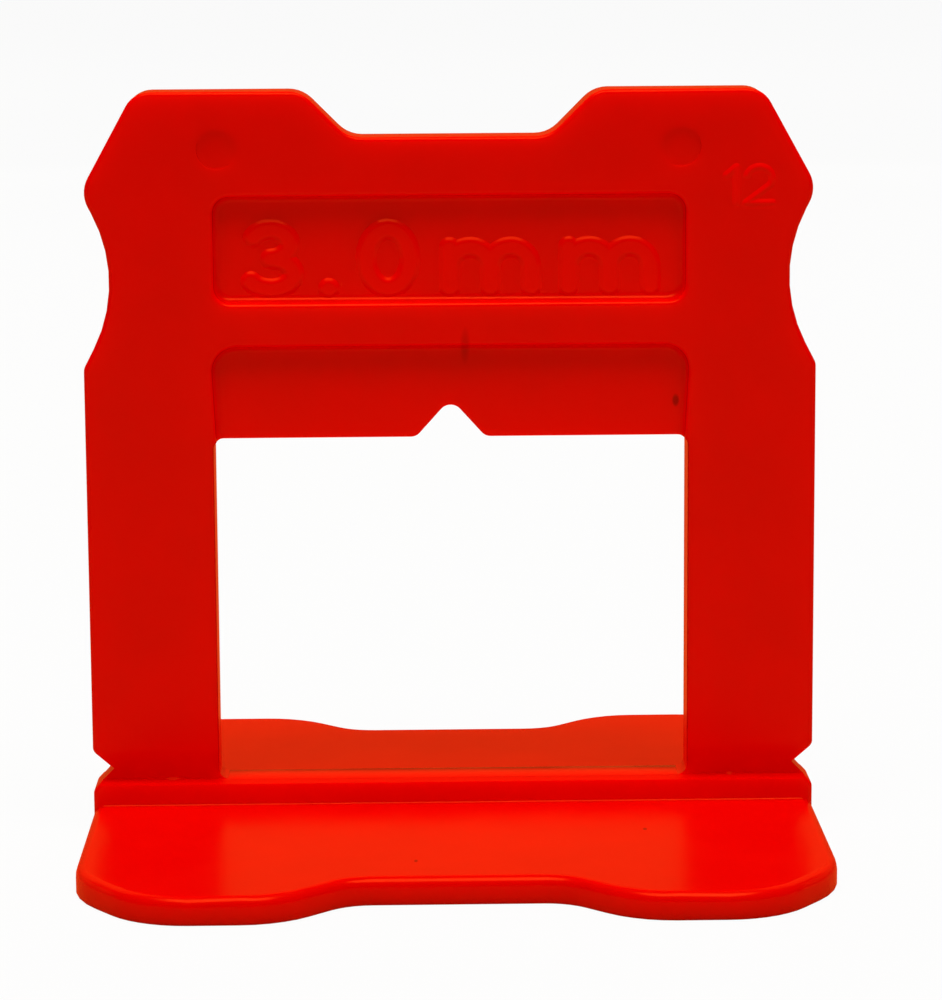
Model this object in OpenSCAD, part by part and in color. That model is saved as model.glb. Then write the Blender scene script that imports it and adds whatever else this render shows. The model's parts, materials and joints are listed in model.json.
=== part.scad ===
// Tile levelling clip, moulded in one piece. The base plate goes under the edges of two tiles,
// the web stands in the joint between them, and a wedge driven through the window presses the
// tiles level. When the bed has set, the web is knocked off along the neck above the rib.
// X runs along the joint, Y across it, and Z up from the underside of the base.

/* [Base plate] */
// Width of the base plate along the joint
base_w = 40; // [32:0.5:60]
// Depth of the base plate across the joint
base_d = 40.6; // [30:0.1:60]
// Thickness of the base plate
base_t = 1.5; // [1:0.1:3]
// Length of a corner chamfer along X
base_corner_x = 3.7; // [2:0.1:6]
// Length of a corner chamfer along Y
base_corner_y = 5.1; // [2:0.1:8]
// Radius of the corners where the sides run into the chamfers
side_corner_r = 6.5; // [1:0.1:8]
// Radius of the corners at the ends of the front and rear edges
end_corner_r = 5; // [1:0.1:6]
// Width of the mortar cut-out at its bottom, in the front and rear edges
cutout_w = 11.3; // [6:0.1:16]
// Depth of the mortar cut-out, whose flanks stand at 45 degrees
cutout_d = 3.4; // [1:0.1:5]
// Radius of the corners at the bottom of the mortar cut-out
cutout_r = 2.9; // [0.8:0.1:4]
// Radius of the base plate's upper edge
base_edge_r = 0.55; // [0.2:0.05:0.6]
// Radius of the base plate's lower edge
sole_edge_r = 0.15; // [0.1:0.05:0.3]

/* [Web] */
// Width of the web across its legs
web_w = 40; // [36:0.5:60]
// Thickness of the web, which sets the width of the joint
web_t = 3; // [2:0.1:5]
// Height of the head, from the top of the window to the shoulders
head_h = 19; // [16:0.5:26]
// Radius of the web's long edges
edge_r = 0.25; // [0.1:0.05:0.35]
// Length along X of the chamfer outside each shoulder
crown_x = 3; // [1.5:0.1:5]
// Height of the chamfer outside each shoulder
crown_z = 5.4; // [3:0.1:7]
// Radius of the corners outside the shoulders
crown_r = 1.5; // [0.5:0.1:3]
// Width of the saddle between the shoulders, at its bottom
saddle_w = 10.9; // [6:0.1:16]
// Depth of the saddle, whose flanks stand at 45 degrees
saddle_d = 2.5; // [1:0.1:3.5]
// Radius of the corners of the saddle
saddle_r = 1.8; // [0.5:0.1:3]
// Height of the waist in each side, from its upper tip to the top of the leg
waist_h = 9.6; // [6:0.1:12]
// Depth at which the two flanks of a waist would meet
waist_d = 2.5; // [1:0.1:3.5]
// Radius at the bottom of a waist
waist_r = 8; // [3:0.1:9]
// Radius of the tip above a waist
tip_r = 1.7; // [0.8:0.1:2.5]
// Radius of the corner at the top of each leg
leg_r = 0.8; // [0.5:0.1:1.2]

/* [Window] */
// Width of the wedge window
window_w = 26; // [18:0.2:28]
// Height of the wedge window above the rib
window_h = 19.1; // [12:0.1:30]
// Radius of the window's corners
window_r = 0.5; // [0.5:0.1:1]
// Width of the sighting notch in the window's upper edge
vee_w = 3.8; // [2:0.1:6]
// Height at which the flanks of the sighting notch would meet
vee_h = 2.1; // [1:0.1:3]
// Radius at the top of the sighting notch
vee_r = 0.7; // [0.3:0.1:0.9]
// Radius of the corners where the sighting notch opens into the window
vee_mouth_r = 0.65; // [0.4:0.05:1]

/* [Panels] */
// Thickness of the floor between the front and rear panels
panel_floor_t = 1.2; // [0.8:0.1:1.6]
// Distance of the upper panel's side walls from the sides of the window
panel_inset = 0.15; // [0.1:0.05:1]
// Height of the lower panel, which opens into the window
lower_panel_h = 5.1; // [4:0.1:7]
// How far the lower panel's side walls lean outwards over its height
lower_panel_flare = 0.25; // [0.1:0.05:0.5]
// Radius of the lower panel's corners
lower_panel_r = 1.35; // [0.7:0.05:1.5]
// Height of the bar between the two panels
bar_h = 2.4; // [1.5:0.1:4]
// Height of the bar between the upper panel and the saddle
top_bar_h = 3.2; // [2:0.1:5]
// Radius of the upper panel's corners
upper_panel_r = 0.9; // [0.7:0.1:1.5]
// Radius along the foot of the panels' walls
panel_foot_r = 0.4; // [0.2:0.05:0.5]

/* [Rib and neck] */
// Height of the rib above the base plate
rib_h = 1.4; // [0.8:0.1:3]
// Radius of the fillet between the rib and the base plate
rib_fillet = 0.15; // [0.1:0.05:0.8]
// Depth of the break groove in each face of the legs
groove_d = 0.5; // [0.3:0.05:0.7]
// Height over which the legs taper down to the break groove
groove_h = 1.8; // [1:0.1:3]
// Depth of the break notch in each side
notch_d = 1.15; // [0.6:0.05:2]
// Height of the break notch's tip above the rib
notch_z = 0.7; // [0.3:0.1:1.5]
// Height of the upper flank of the break notch
notch_up = 1; // [0.6:0.1:2]
// Height of the lower flank of the break notch
notch_down = 1.2; // [0.6:0.1:1.5]
// Radius of the corners beside the break notch
notch_r = 0.5; // [0.5:0.1:1.2]

/* [Ejector marks] */
// Diameter of the two ejector marks on the front of the shoulders
mark_dia = 2.1; // [1:0.1:4]
// Depth of the ejector marks
mark_d = 0.15; // [0.05:0.05:0.3]
// Distance between the two ejector marks
mark_span = 25.2; // [20:0.2:28]
// Distance of the ejector marks below the shoulders
mark_drop = 3.1; // [2:0.1:5]

/* [Hidden] */
$fn = 48;

// Largest turn between two neighbouring points of an arc, in degrees
arc_step = 9;
// Number of flats that stand for a small edge radius
edge_steps = 3;
// How far a cutter reaches past the surface that it cuts
over = 0.05;
// How far a cutter that passes right through stands out at each end
through = 1;
// Fall of the break groove's lower flank towards the face
groove_fall = 0.2;
// How far the lower panel's tool runs down into the window
panel_run_out = 3;

rib_z = base_t + rib_h;
window_z = rib_z + window_h;
clip_h = window_z + head_h;
tip_z = clip_h - crown_z;
leg_z = tip_z - waist_h;
panel_w = window_w - 2 * panel_inset;
panel_d = (web_t - panel_floor_t) / 2;
bar_z = window_z + lower_panel_h;
upper_panel_z = bar_z + bar_h;
upper_panel_h = clip_h - saddle_d - top_bar_h - upper_panel_z;

function unit(v) = v / norm(v);

// Half of the angle at c between the directions to p and q
function half_angle(p, c, q) = acos(unit(p - c) * unit(q - c)) / 2;

// Arc in the corner c between p and q that starts and ends at the given distance from c
function corner_arc(p, c, q, reach) =
    let (
        u = unit(p - c),
        v = unit(q - c),
        half = half_angle(p, c, q),
        radius = reach * tan(half),
        middle = c + unit(u + v) * reach / cos(half),
        first = c + u * reach - middle,
        start = atan2(first.y, first.x),
        sweep = (180 - 2 * half) * (cross(u, v) < 0 ? 1 : -1),
        steps = max(2, ceil(abs(sweep) / arc_step))
    )
    [for (i = [0:steps]) let (a = start + sweep * i / steps) middle + radius * [cos(a), sin(a)]];

// Closed outline through corners given as [x, y, radius]. A radius of 0 leaves a corner sharp,
// and two arcs that would overlap share the side between them.
function outline(corners) =
    let (
        n = len(corners),
        at = [for (c = corners) [c.x, c.y]],
        want = [
            for (i = [0:n - 1])
                corners[i].z / tan(half_angle(at[(i + n - 1) % n], at[i], at[(i + 1) % n]))
        ],
        share = [
            for (i = [0:n - 1])
                let (j = (i + 1) % n) min(1, norm(at[j] - at[i]) / max(want[i] + want[j], over))
        ]
    )
    [
        for (i = [0:n - 1])
            let (before = (i + n - 1) % n, reach = want[i] * min(share[before], share[i]))
            each reach > 0 ? corner_arc(at[before], at[i], at[(i + 1) % n], reach) : [at[i]]
    ];

// The given right-hand corners, followed by their mirror images in reverse order
function both_sides(right) =
    concat(right, [for (i = [len(right) - 1:-1:0]) [-right[i].x, right[i].y, right[i].z]]);

// Anticlockwise outline moved outwards by d
function moved_out(path, d) =
    let (n = len(path))
    [
        for (i = [0:n - 1])
            let (
                a = unit(path[i] - path[(i + n - 1) % n]),
                b = unit(path[(i + 1) % n] - path[i]),
                out_a = [a.y, -a.x],
                out_b = [b.y, -b.x]
            )
            path[i] + (out_a + out_b) * d / (1 + out_a * out_b)
    ];

function ring_at(path, d, z) = [for (p = moved_out(path, d)) [p.x, p.y, z]];

// Section of what a rounded edge takes off, as [distance outwards, height]. The sharp edge is at
// [0, 0], and the first and last flats of the round are carried on past the two faces.
function edge_waste(r) =
    let (
        step = 90 / edge_steps,
        flats = [for (i = [0:edge_steps]) r * [sin(i * step) - 1, cos(i * step) - 1]],
        past = over / tan(step / 2)
    )
    concat(
        [flats[0] + [-past, over]],
        [for (i = [1:edge_steps - 1]) flats[i]],
        [flats[edge_steps] + [over, -past], [over, over]]
    );

// Solid skinned over rings of equally many points, from the lowest up. A closed skin runs from
// the last ring back to the first, and an open one is capped by its convex end rings.
module skin(rings, closed = false) {
    n = len(rings[0]);
    m = len(rings);
    walls = [
        for (k = [0:m - (closed ? 1 : 2)], i = [0:n - 1])
            let (j = (i + 1) % n, up = (k + 1) % m) [k * n + i, up * n + i, up * n + j, k * n + j]
    ];
    caps = closed ? [] : [[for (i = [0:n - 1]) i], [for (i = [n - 1:-1:0]) (m - 1) * n + i]];
    polyhedron([for (ring = rings) each ring], concat(walls, caps));
}

// Cutter that rounds the upper edge of a plate, all round its outline
module edge_cut(path, r, z) {
    skin([for (s = edge_waste(r)) ring_at(path, s.x, z + s.y)], closed = true);
}

// Cutter that rounds the upper edge of a hole in a plate
module hole_edge_cut(path, r, z) {
    waste = edge_waste(r);
    skin(
        [for (i = [len(waste) - 1:-1:0]) ring_at(path, -waste[i].x, z + waste[i].y)],
        closed = true
    );
}

// Stands a plate that is drawn flat in XY upright in XZ, with its upper face to the front
module upright() {
    rotate([90, 0, 0]) children();
}

// Runs a section that is drawn in YZ along X
module along_x(length) {
    rotate([90, 0, 90]) linear_extrude(length, center = true) children();
}

module front_and_rear() {
    for (rear = [0, 1]) mirror([0, rear, 0]) children();
}

// Plan of the base plate: chamfered corners, and a cut-out in the front and rear edges
base_path =
    let (
        x = base_w / 2,
        y = base_d / 2,
        rear = [
            [x, y - base_corner_y, side_corner_r],
            [x - base_corner_x, y, end_corner_r],
            [cutout_w / 2 + cutout_d, y, end_corner_r],
            [cutout_w / 2, y - cutout_d, cutout_r]
        ],
        front = [for (i = [len(rear) - 1:-1:0]) [rear[i].x, -rear[i].y, rear[i].z]]
    )
    outline(both_sides(concat(front, rear)));

// Front view of the web, from its foot inside the base plate up to the shoulders
web_path =
    let (x = web_w / 2, notch = rib_z + notch_z)
    outline(both_sides([
        [x, base_t / 2, 0],
        [x, notch - notch_down, notch_r],
        [x - notch_d, notch, 0],
        [x, notch + notch_up, notch_r],
        [x, leg_z, leg_r],
        [x - waist_d, leg_z + waist_h / 2, waist_r],
        [x, tip_z, tip_r],
        [x - crown_x, clip_h, crown_r],
        [saddle_w / 2 + saddle_d, clip_h, saddle_r],
        [saddle_w / 2, clip_h - saddle_d, saddle_r]
    ]));

// Front view of the window, with the sighting notch in its upper edge
window_path =
    outline(concat(
        both_sides([[window_w / 2, rib_z, window_r]]),
        [
            [-window_w / 2, window_z, window_r],
            [-vee_w / 2, window_z, vee_mouth_r],
            [0, window_z + vee_h, vee_r],
            [vee_w / 2, window_z, vee_mouth_r],
            [window_w / 2, window_z, window_r]
        ]
    ));

// Tool for a panel of the given widths at its bottom and top, height and corner radius: its floor
// is filleted, its mouth is rounded over, and the two rounds stay within the depth of its walls
module panel_tool(low_w, high_w, h, r) {
    path = outline(both_sides([[low_w / 2, 0, r], [high_w / 2, h, r]]));
    foot_r = min(panel_foot_r, panel_d / 2);
    mouth_r = min(edge_r, panel_d / 3);
    step = 90 / edge_steps;
    foot = [for (i = [0:edge_steps]) foot_r * [sin(i * step) - 1, 1 - cos(i * step)]];
    mouth = [for (i = [0:edge_steps - 1]) mouth_r * [1 - cos(i * step), sin(i * step) - 1]];
    lip = [mouth_r + over / tan(step / 2), over];
    skin(concat(
        [for (s = foot) ring_at(path, s.x, s.y - panel_d)],
        [for (s = concat(mouth, [lip])) ring_at(path, s.x, s.y)]
    ));
}

// The two panels in one face of the web. The lower one runs down into the window.
module panels() {
    run_out_lean = lower_panel_flare * panel_run_out / lower_panel_h;
    translate([0, upper_panel_z, web_t / 2])
        panel_tool(panel_w, panel_w, upper_panel_h, upper_panel_r);
    translate([0, window_z - panel_run_out, web_t / 2])
        panel_tool(
            panel_w - 2 * run_out_lean,
            panel_w + 2 * lower_panel_flare,
            lower_panel_h + panel_run_out,
            lower_panel_r
        );
}

// Break groove along one face of the legs, just above the rib
module break_groove() {
    reach = 1 + over / groove_d;
    along_x(web_w + 2 * through) polygon([
        [-web_t / 2 + groove_d, rib_z],
        [-web_t / 2 + groove_d * (1 - reach), rib_z - groove_fall * reach],
        [-web_t / 2 + groove_d * (1 - reach), rib_z + groove_h * reach]
    ]);
}

module ejector_marks() {
    for (side = [-1, 1])
        translate([side * mark_span / 2, clip_h - mark_drop, web_t / 2 - mark_d])
            cylinder(d = mark_dia, h = mark_d + over);
}

module web() {
    difference() {
        upright() difference() {
            linear_extrude(web_t, center = true) polygon(web_path);
            linear_extrude(web_t + 2 * through, center = true) polygon(window_path);
        }
        upright() ejector_marks();
        front_and_rear() {
            upright() {
                edge_cut(web_path, edge_r, web_t / 2);
                hole_edge_cut(window_path, edge_r, web_t / 2);
                panels();
            }
            break_groove();
        }
    }
}

module base_plate() {
    difference() {
        linear_extrude(base_t) polygon(base_path);
        edge_cut(base_path, base_edge_r, base_t);
        mirror([0, 0, 1]) edge_cut(base_path, sole_edge_r, 0);
    }
}

// Fillet along the foot of the rib
module rib_foot() {
    along_x(web_w - 2 * base_edge_r)
        polygon([for (s = edge_waste(rib_fillet)) [s.x - web_t / 2, base_t - s.y]]);
}

module levelling_clip() {
    color("red") {
        base_plate();
        web();
        front_and_rear() rib_foot();
    }
}

levelling_clip();
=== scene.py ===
"""Tile levelling clip, moulded in one piece in red polypropylene, standing on its base plate."""
import json
import math

import bpy
import numpy as np
from mathutils import Matrix, Vector


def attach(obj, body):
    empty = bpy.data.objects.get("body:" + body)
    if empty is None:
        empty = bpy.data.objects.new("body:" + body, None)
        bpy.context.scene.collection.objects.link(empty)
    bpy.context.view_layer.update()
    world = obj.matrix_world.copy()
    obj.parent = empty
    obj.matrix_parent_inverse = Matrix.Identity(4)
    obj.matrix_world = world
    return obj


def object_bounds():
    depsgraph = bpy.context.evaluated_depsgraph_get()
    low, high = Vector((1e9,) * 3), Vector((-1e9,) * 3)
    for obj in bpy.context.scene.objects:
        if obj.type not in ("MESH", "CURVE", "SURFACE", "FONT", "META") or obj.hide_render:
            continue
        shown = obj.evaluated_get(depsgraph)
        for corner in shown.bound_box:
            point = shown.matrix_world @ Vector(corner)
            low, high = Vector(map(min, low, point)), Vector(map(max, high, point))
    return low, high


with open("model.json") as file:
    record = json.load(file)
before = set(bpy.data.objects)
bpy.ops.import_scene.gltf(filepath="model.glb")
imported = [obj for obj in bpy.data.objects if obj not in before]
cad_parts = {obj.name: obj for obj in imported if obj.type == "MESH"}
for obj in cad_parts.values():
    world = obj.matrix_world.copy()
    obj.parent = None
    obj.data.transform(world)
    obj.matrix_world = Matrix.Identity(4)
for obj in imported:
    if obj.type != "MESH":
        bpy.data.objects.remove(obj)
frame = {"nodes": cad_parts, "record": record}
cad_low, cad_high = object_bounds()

MM = 0.001
CLIP = "levelling_clip"
MOUNTS = {mount["name"]: mount for mount in frame["record"]["mounts"]}

# Faces that the marks stand on: the web's front, and the floor of the upper panel behind it
WEB_FRONT_Y = MOUNTS["front_joint_face"]["pos_m"][1]
PANEL_DEPTH = 0.9 * MM
PANEL_FLOOR_Y = WEB_FRONT_Y + PANEL_DEPTH

# Raised size mark on the panel floor: the joint width in plain round strokes. Each character has
# its left end in millimetres
SIZE_MARK = (("3", -10.9), (".", -6.6), ("0", -4.55), ("m", 0.0), ("m", 6.5))
SIZE_MARK_FOOT = 30.22 * MM
SIZE_SCALE = 1.0
SIZE_STROKE = 1.0 * MM
SIZE_RELIEF = 0.14 * MM

# Small raised cavity number on the right shoulder, in the same strokes at a smaller scale
CAVITY_MARK = (("1", 14.9), ("2", 16.1))
CAVITY_MARK_FOOT = 34.8 * MM
CAVITY_SCALE = 0.6
CAVITY_STROKE = 0.32 * MM
CAVITY_RELIEF = 0.09 * MM

# How far a mark is sunk under its face, the width of its flanks, the spacing of its grid and the
# number of points on each of its arcs
MARK_SINK = 0.04 * MM
MARK_FLANK = 0.42 * MM
MARK_PITCH = 0.06 * MM
ARC_POINTS = 25

# Small spots on the moulding: centre and half sizes in millimetres, and tint. They are painted
# shade along a faint flow line under the bar, three dark specks, and painted glints as two pale
# specks at the breakaway neck and one by the zero
FLAWS_AND_PAINTED_LIGHT = (
    ((0.81, -1.1, 27.05), (0.32, 1.2, 1.25), "#D20000"),
    ((12.37, -0.6, 23.9), (0.22, 0.3, 0.39), "#B20000"),
    ((10.26, -7.63, 1.5), (0.14, 0.3, 0.14), "#960000"),
    ((-2.15, -13.66, 1.5), (0.12, 0.3, 0.12), "#960000"),
    ((-15.6, -1.1, 2.95), (0.5, 0.4, 0.09), "#F23A18"),
    ((15.4, -1.1, 2.95), (0.22, 0.4, 0.1), "#F23A18"),
    ((-5.9, -0.85, 30.45), (0.07, 0.3, 0.3), "#F23A18"),
)

# Linear colour that the plastic gives to what it mirrors
MIRROR_TINT = (1.0, 0.12, 0.02, 1.0)

# The camera, fitted to the straight edges of the clip in a frame of 942 by 1000 pixels
CAMERA_PLACE = Vector((-2.51, -199.66, 52.27)) * MM
CAMERA_YAW = math.radians(1.036)
CAMERA_PITCH = math.radians(9.644)
CAMERA_ROLL = math.radians(-0.361)
CAMERA_LENS = 131.8
CAMERA_NEAR = 10 * MM

# Soft boxes: name, side (-1 in front, 1 behind), elevation, then distance, width and height in
# metres, and watts. Their light and the dim room's are a little warm
SOFT_BOXES = (
    ("key", -1, math.radians(71), 0.7, 0.6, 0.4, 5.35),
    ("rear_fill", 1, math.radians(45), 0.8, 1.4, 0.7, 3.0),
)
LAMP_COLOUR = (1.0, 0.95, 0.86)
ROOM_COLOUR = (0.07, 0.06, 0.045, 1.0)

# Low curved wall behind the clip, which the base plate mirrors: radius, reach to each side from the
# middle, heights of its foot and top, and number of columns
BACKDROP_RADIUS = 0.45
BACKDROP_REACH = math.radians(75)
BACKDROP_FOOT = 0.033
BACKDROP_TOP = 0.2
BACKDROP_COLUMNS = 49

# Floor: a hair under the base plate, so that the light in the plastic can leave on that side too.
# Its card shows as white by the first share to the eye, and by the second where it is mirrored
FLOOR_HALF = 4.0
FLOOR_Z = -0.02 * MM
FLOOR_WHITENESS = 0.95
FLOOR_MIRRORED = 0.4

# Shading of the clip's rounds: vertices this close are one, edges that turn more than the crease
# angle are sharp, and faces that meet at less than the patch angle lie in one plane
MERGE_REACH = 0.001 * MM
CREASE_ANGLE = math.radians(40)
PATCH_ANGLE = math.radians(0.5)

# Sockets of a mix node that holds colours: its two inputs and its output
MIX_A, MIX_B, MIX_RESULT = 6, 7, 2


def srgb(code):
    """Linear colour with alpha from an sRGB hex code: ((c + 0.055) / 1.055) ** 2.4, or c / 12.92 in
    the darkest tones."""
    values = [int(code[i:i + 2], 16) / 255 for i in (1, 3, 5)]
    linear = [c / 12.92 if c <= 0.04045 else ((c + 0.055) / 1.055) ** 2.4 for c in values]
    return (*linear, 1.0)


def add_node(tree, kind, inputs=None, **settings):
    """Adds one node, sets its properties, and gives each input a value or a link."""
    node = tree.nodes.new(kind)
    for name, value in settings.items():
        setattr(node, name, value)
    for name, value in (inputs or {}).items():
        if isinstance(value, bpy.types.NodeSocket):
            tree.links.new(value, node.inputs[name])
        else:
            node.inputs[name].default_value = value
    return node


def new_material(name):
    """An empty material and its node tree."""
    material = bpy.data.materials.new(name)
    material.use_nodes = True
    material.node_tree.nodes.clear()
    return material, material.node_tree


def with_tinted_spot(tree, place, colour, centre, half_sizes, tint):
    """The colour, turned to the tint in a soft ellipsoid. Its mask is the length of
    (place - centre) / half_sizes, mapped from 1 and 0.5 to 0 and 1."""
    apart = add_node(
        tree, "ShaderNodeVectorMath", {0: place, 1: Vector(centre) * MM}, operation="SUBTRACT"
    ).outputs["Vector"]
    apart = add_node(
        tree, "ShaderNodeVectorMath", {0: apart, 1: Vector(half_sizes) * MM}, operation="DIVIDE"
    ).outputs["Vector"]
    reach = add_node(tree, "ShaderNodeVectorMath", {0: apart}, operation="LENGTH").outputs["Value"]
    mask = add_node(
        tree, "ShaderNodeMapRange",
        {"Value": reach, "From Min": 1.0, "From Max": 0.5, "To Min": 0.0, "To Max": 1.0},
    ).outputs["Result"]
    return add_node(
        tree, "ShaderNodeMix", {"Factor": mask, MIX_A: colour, MIX_B: srgb(tint)}, data_type="RGBA"
    ).outputs[MIX_RESULT]


def moulded_polypropylene(name, glow, deep_red, light_red):
    """Red polypropylene from a polished steel mould. With a glow of 1 light goes a little way into
    it, so edges and thin walls shine. Faint flow clouds mix its two reds and vary its gloss. Its
    mirror images are tinted orange, to match the sheen of the real clip."""
    material, tree = new_material(name)
    place = add_node(tree, "ShaderNodeTexCoord").outputs["Object"]
    cloud_size = 4.0 * MM
    clouds = add_node(
        tree, "ShaderNodeTexNoise",
        {"Vector": place, "Scale": 1 / cloud_size, "Detail": 3.0, "Roughness": 0.5},
    ).outputs["Fac"]
    pigment_and_painted_light = add_node(
        tree, "ShaderNodeMix",
        {"Factor": clouds, MIX_A: srgb(deep_red), MIX_B: srgb(light_red)},
        data_type="RGBA",
    ).outputs[MIX_RESULT]
    # Tinted spots: the dark specks are dirt, the flow line's darker red is painted shade, the pale
    # specks painted glints
    for centre, half_sizes, tint in FLAWS_AND_PAINTED_LIGHT:
        pigment_and_painted_light = with_tinted_spot(tree, place, pigment_and_painted_light, centre, half_sizes, tint)
    gloss = add_node(
        tree, "ShaderNodeMapRange",
        {"Value": clouds, "From Min": 0.3, "From Max": 0.7, "To Min": 0.2, "To Max": 0.27},
    ).outputs["Result"]
    # The mould's polish marks, drawn coarser than the real ones, which are too fine for a render
    grain_size = 0.3 * MM
    grain_depth = 0.0004 * MM
    grain = add_node(
        tree, "ShaderNodeTexNoise",
        {"Vector": place, "Scale": 1 / grain_size, "Detail": 2.0, "Roughness": 0.6},
    ).outputs["Fac"]
    skin = add_node(
        tree, "ShaderNodeBump", {"Height": grain, "Strength": 1.0, "Distance": grain_depth}
    ).outputs["Normal"]
    body = add_node(
        tree, "ShaderNodeBsdfPrincipled",
        {
            "Base Color": pigment_and_painted_light,
            "Roughness": gloss,
            "Normal": skin,
            "Specular IOR Level": 0.0,
            "Subsurface Weight": glow,
            "Subsurface Radius": (1.0, 0.12, 0.06),
            "Subsurface Scale": 1.6 * MM,
        },
    ).outputs["BSDF"]
    mirror = add_node(
        tree, "ShaderNodeBsdfGlossy",
        {"Color": MIRROR_TINT, "Roughness": gloss, "Normal": skin},
    ).outputs["BSDF"]
    edge_on = add_node(tree, "ShaderNodeFresnel", {"IOR": 1.49, "Normal": skin}).outputs["Fac"]
    skinned = add_node(
        tree, "ShaderNodeMixShader", {"Fac": edge_on, 1: body, 2: mirror}
    ).outputs["Shader"]
    add_node(tree, "ShaderNodeOutputMaterial", {"Surface": skinned})
    return material


def white_floor():
    """Matt white card. To the eye and through clear things it shows as white, less a light shadow,
    and mirrored in the plastic it shows with part of that. It isn't sampled as a lamp."""
    material, tree = new_material("matt_white_card")
    material.cycles.emission_sampling = "NONE"
    path = add_node(tree, "ShaderNodeLightPath").outputs
    mirrored = add_node(
        tree, "ShaderNodeMath", {0: path["Is Glossy Ray"], 1: FLOOR_MIRRORED}, operation="MULTIPLY"
    ).outputs["Value"]
    seen = add_node(
        tree, "ShaderNodeMath", {0: path["Is Camera Ray"], 1: path["Is Transmission Ray"]},
        operation="MAXIMUM",
    ).outputs["Value"]
    seen = add_node(
        tree, "ShaderNodeMath", {0: seen, 1: FLOOR_WHITENESS}, operation="MULTIPLY"
    ).outputs["Value"]
    share = add_node(
        tree, "ShaderNodeMath", {0: seen, 1: mirrored}, operation="MAXIMUM"
    ).outputs["Value"]
    card = add_node(tree, "ShaderNodeBsdfDiffuse", {"Color": srgb("#D2D2D2")})
    white = add_node(tree, "ShaderNodeEmission", {"Color": srgb("#FFFFFF"), "Strength": 1.0})
    mixed = add_node(
        tree, "ShaderNodeMixShader",
        {"Fac": share, 1: card.outputs["BSDF"], 2: white.outputs["Emission"]},
    )
    add_node(tree, "ShaderNodeOutputMaterial", {"Surface": mixed.outputs["Shader"]})
    return material


def new_object(name, points, faces, material):
    """A mesh object at the origin from arrays of points and faces."""
    mesh = bpy.data.meshes.new(name)
    mesh.from_pydata(np.asarray(points).tolist(), [], np.asarray(faces).tolist())
    mesh.update()
    mesh.materials.append(material)
    made = bpy.data.objects.new(name, mesh)
    bpy.context.scene.collection.objects.link(made)
    return made


def arc(centre, radii, first, last):
    """Points on an ellipse, centre + radii * (cos, sin), from one angle to another in degrees."""
    angle = np.radians(np.linspace(first, last, ARC_POINTS))
    return np.array(centre) + np.array(radii) * np.stack([np.cos(angle), np.sin(angle)], axis=1)


def character_strokes(character):
    """Centre lines of one character in millimetres, on a foot line at 0. A digit is 2.4 wide and
    3.25 high, and a small letter is 2.2 high."""
    if character == "0":
        return [arc((1.2, 1.62), (1.2, 1.62), 0, 360)]
    if character == "1":
        return [np.array([(0.2, 2.5), (1.1, 3.25), (1.1, 0.0)])]
    if character == "2":
        bowl = arc((1.2, 2.2), (1.15, 1.05), 165, -35)
        return [np.concatenate([bowl, [(0.0, 0.0), (2.4, 0.0)]])]
    if character == "3":
        upper = arc((1.15, 2.45), (1.05, 0.8), 150, -90)
        lower = arc((1.15, 0.83), (1.25, 0.82), 90, -150)
        return [np.concatenate([upper, lower[1:]])]
    if character == ".":
        return [arc((0.0, 0.0), (0.02, 0.02), 0, 360)]
    # The letter m: three stems, two arches and the rest of the first stem
    stems = [np.array([(x, 0.0), (x, 1.1)]) for x in (0.0, 2.22, 4.44)]
    arches = [arc((x, 1.1), (1.11, 1.1), 180, 0) for x in (1.11, 3.33)]
    start = np.array([(0.0, 1.1), (0.0, 2.2)])
    return stems + arches + [start]


def stroke_distance(points, strokes):
    """Distance of each point from the nearest stroke: the point is dropped onto every piece of each
    line, kept between its ends, and the shortest way counts."""
    nearest = np.full(len(points), np.inf)
    for line in strokes:
        start, along = line[:-1], np.diff(line, axis=0)
        away = points[:, None] - start
        part = np.clip((away * along).sum(axis=2) / (along ** 2).sum(axis=1), 0, 1)
        ways = np.linalg.norm(away - part[..., None] * along, axis=2)
        nearest = np.minimum(nearest, ways.min(axis=1))
    return nearest


def slab_faces(rows, columns):
    """Quads of a closed slab: a front grid, a back grid with as many points, and a wall round the
    edge that joins the two."""
    index = np.arange(rows * columns).reshape(rows, columns)
    front = np.stack([index[:-1, :-1], index[:-1, 1:], index[1:, 1:], index[1:, :-1]], axis=2)
    front = front.reshape(-1, 4)
    rim = np.concatenate([index[0, :-1], index[:-1, -1], index[-1, :0:-1], index[:0:-1, 0]])
    onward = np.roll(rim, -1)
    back = index.size
    wall = np.stack([onward, rim, rim + back, onward + back], axis=1)
    return np.concatenate([front, front[:, ::-1] + back, wall])


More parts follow.
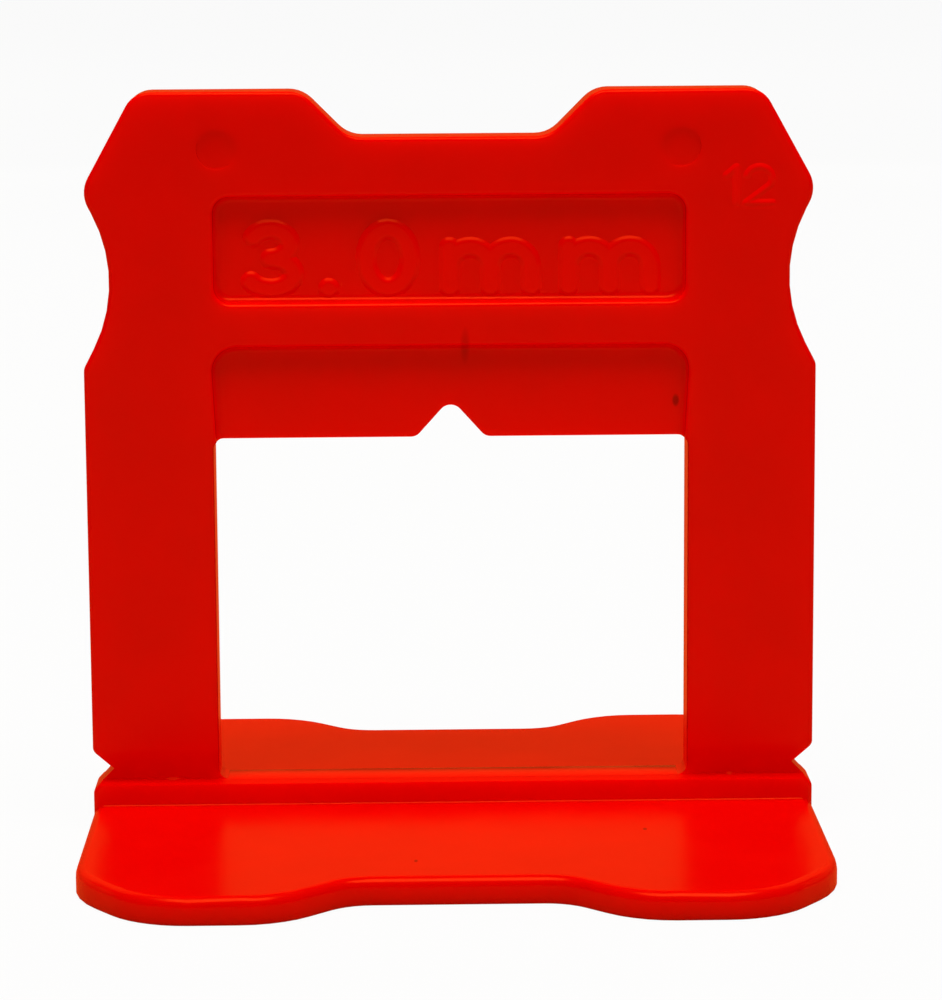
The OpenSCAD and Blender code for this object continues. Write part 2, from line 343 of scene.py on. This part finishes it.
def raised_mark(name, characters, foot_z, scale, stroke, relief, face_y, material):
    """Raised characters on a face that looks along -Y. Each is a closed slab, whose front goes from
    sunk under the face to the relief by smoothstep((stroke / 2 + flank / 2 - distance from the
    stroke) / flank). They cast no shadow, because it would darken the glowing plastic around."""
    points, faces = [], []
    count = 0
    for character, left in characters:
        strokes = [line * scale * MM + (left * MM, foot_z) for line in character_strokes(character)]
        drawn = np.concatenate(strokes)
        margin = stroke / 2 + MARK_FLANK + MARK_PITCH
        low, high = drawn.min(axis=0) - margin, drawn.max(axis=0) + margin
        x = np.arange(low[0], high[0] + MARK_PITCH, MARK_PITCH)
        z = np.arange(low[1], high[1] + MARK_PITCH, MARK_PITCH)
        flat = np.stack(np.meshgrid(x, z), axis=2).reshape(-1, 2)
        rise = (stroke / 2 + MARK_FLANK / 2 - stroke_distance(flat, strokes)) / MARK_FLANK
        rise = np.clip(rise, 0, 1)
        rise = rise * rise * (3 - 2 * rise)
        front_y = face_y + MARK_SINK - (MARK_SINK + relief) * rise
        back_y = np.full(len(flat), face_y + 2 * MARK_SINK)
        for y in (front_y, back_y):
            points.append(np.stack([flat[:, 0], y, flat[:, 1]], axis=1))
        faces.append(slab_faces(len(z), len(x)) + count)
        count += 2 * len(flat)
    mark = new_object(name, np.concatenate(points), np.concatenate(faces), material)
    mark.data.shade_smooth()
    mark.visible_shadow = False
    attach(mark, "root")


def smooth_rounds(clip):
    """Merges the loose triangles and shades the small flats of each round as one curve. Triangles
    that lie in one plane form a patch. A vertex takes the mean of its faces' normals, each weighted
    by the area of its patch, so that broad faces stay flat. Creases are split and stay sharp."""
    tree = bpy.data.node_groups.new("smooth_rounds", "GeometryNodeTree")
    for way in ("INPUT", "OUTPUT"):
        tree.interface.new_socket("Geometry", in_out=way, socket_type="NodeSocketGeometry")
    shape = add_node(tree, "NodeGroupInput").outputs["Geometry"]
    shape = add_node(
        tree, "GeometryNodeMergeByDistance", {"Geometry": shape, "Distance": MERGE_REACH}
    ).outputs["Geometry"]
    shape = add_node(
        tree, "GeometryNodeSetMeshNormal", {"Mesh": shape, "Remove Custom": True}, mode="SHARPNESS"
    ).outputs["Mesh"]
    turn = add_node(tree, "GeometryNodeInputMeshEdgeAngle").outputs["Unsigned Angle"]
    bounds = {}
    for name, least in (("crease", CREASE_ANGLE), ("patch", PATCH_ANGLE)):
        bounds[name] = add_node(
            tree, "FunctionNodeCompare", {"A": turn, "B": least},
            data_type="FLOAT", operation="GREATER_THAN",
        ).outputs["Result"]
    shape = add_node(
        tree, "GeometryNodeSplitEdges", {"Mesh": shape, "Selection": bounds["crease"]}
    ).outputs["Mesh"]
    patch = add_node(
        tree, "GeometryNodeEdgesToFaceGroups", {"Boundary Edges": bounds["patch"]}
    ).outputs["Face Group ID"]
    area = add_node(tree, "GeometryNodeInputMeshFaceArea").outputs["Area"]
    area = add_node(
        tree, "GeometryNodeAccumulateField", {"Value": area, "Group ID": patch},
        data_type="FLOAT", domain="FACE",
    ).outputs["Total"]
    normal = add_node(tree, "GeometryNodeInputNormal").outputs["Normal"]
    weighted = add_node(
        tree, "ShaderNodeVectorMath", {"Vector": normal, "Scale": area}, operation="SCALE"
    ).outputs["Vector"]
    weighted = add_node(
        tree, "GeometryNodeFieldOnDomain", {"Value": weighted},
        data_type="FLOAT_VECTOR", domain="FACE",
    ).outputs["Value"]
    mean = add_node(
        tree, "ShaderNodeVectorMath", {"Vector": weighted}, operation="NORMALIZE"
    ).outputs["Vector"]
    shape = add_node(
        tree, "GeometryNodeSetMeshNormal", {"Mesh": shape, "Custom Normal": mean},
        mode="FREE", domain="POINT",
    ).outputs["Mesh"]
    add_node(tree, "NodeGroupOutput", {"Geometry": shape})
    clip.modifiers.new("smooth_rounds", "NODES").node_group = tree


def place_camera():
    """Camera at the fitted place: its axes are yawed about Z, pitched down and rolled."""
    level = Matrix.Rotation(-CAMERA_YAW, 4, "Z") @ Matrix.Rotation(math.radians(90), 4, "X")
    tilt = Matrix.Rotation(-CAMERA_PITCH, 4, "X") @ Matrix.Rotation(CAMERA_ROLL, 4, "Z")
    data = bpy.data.cameras.new("camera")
    data.lens = CAMERA_LENS
    data.clip_start = CAMERA_NEAR
    camera = bpy.data.objects.new("camera", data)
    camera.matrix_world = Matrix.Translation(CAMERA_PLACE) @ level @ tilt
    bpy.context.scene.collection.objects.link(camera)
    bpy.context.scene.camera = camera


def soft_box(name, place, target, width, height, watts):
    """Rectangular area lamp at a place, facing the target."""
    data = bpy.data.lights.new(name, "AREA")
    data.shape = "RECTANGLE"
    data.size = width
    data.size_y = height
    data.energy = watts
    data.color = LAMP_COLOUR
    lamp = bpy.data.objects.new(name, data)
    aim = (place - target).to_track_quat("Z", "Y").to_matrix().to_4x4()
    lamp.matrix_world = Matrix.Translation(place) @ aim
    bpy.context.scene.collection.objects.link(lamp)


def backdrop(material):
    """Low curved wall behind the clip, open to the front, that begins just above what the camera
    sees: each point is at radius * (sin, cos) of its angle from +Y, at the wall's foot or top."""
    angle = np.linspace(-BACKDROP_REACH, BACKDROP_REACH, BACKDROP_COLUMNS)
    turn, height = np.meshgrid(angle, np.array([BACKDROP_FOOT, BACKDROP_TOP]))
    x, y = BACKDROP_RADIUS * np.sin(turn), BACKDROP_RADIUS * np.cos(turn)
    points = np.stack([x, y, height], axis=2)
    index = np.arange(points[..., 0].size).reshape(2, -1)
    faces = np.stack([index[0, :-1], index[0, 1:], index[1, 1:], index[1, :-1]], axis=1)
    return new_object("backdrop", points.reshape(-1, 3), faces, material)


def studio():
    """White floor, low backdrop, a soft box high in front, a larger one behind, and a dim room."""
    corners = [
        (x * FLOOR_HALF, y * FLOOR_HALF, FLOOR_Z) for x, y in ((-1, -1), (1, -1), (1, 1), (-1, 1))
    ]
    floor = new_object("floor", corners, [(0, 1, 2, 3)], white_floor())
    backdrop(floor.data.materials[0])
    middle = (cad_low + cad_high) / 2
    for name, side, elevation, distance, width, height, watts in SOFT_BOXES:
        toward = Vector((0.0, side * math.cos(elevation), math.sin(elevation)))
        soft_box(name, middle + distance * toward, middle, width, height, watts)
    world = bpy.data.worlds.new("dim_room")
    world.use_nodes = True
    room = world.node_tree.nodes["Background"]
    room.inputs["Color"].default_value = ROOM_COLOUR
    room.inputs["Strength"].default_value = 1.0
    bpy.context.scene.world = world
    bpy.context.scene.view_settings.view_transform = "Standard"


place_camera()
studio()
clip = frame["nodes"][CLIP]
clip.material_slots[0].material = moulded_polypropylene(
    "moulded_red_polypropylene", 1.0, "#E20000", "#EE0000"
)
smooth_rounds(clip)
# A thin separate layer loses the light that goes into it, so the marks have no glow. Their lighter
# red makes up for that, and also paints the letters lighter than the shaded panel round them
mark_plastic_painted_lighter = moulded_polypropylene("raised_red_polypropylene", 0.0, "#EE0000", "#FA0000")
raised_mark(
    "size_mark", SIZE_MARK, SIZE_MARK_FOOT, SIZE_SCALE, SIZE_STROKE, SIZE_RELIEF,
    PANEL_FLOOR_Y, mark_plastic_painted_lighter,
)
raised_mark(
    "cavity_mark", CAVITY_MARK, CAVITY_MARK_FOOT, CAVITY_SCALE, CAVITY_STROKE, CAVITY_RELIEF,
    WEB_FRONT_Y, mark_plastic_painted_lighter,
)
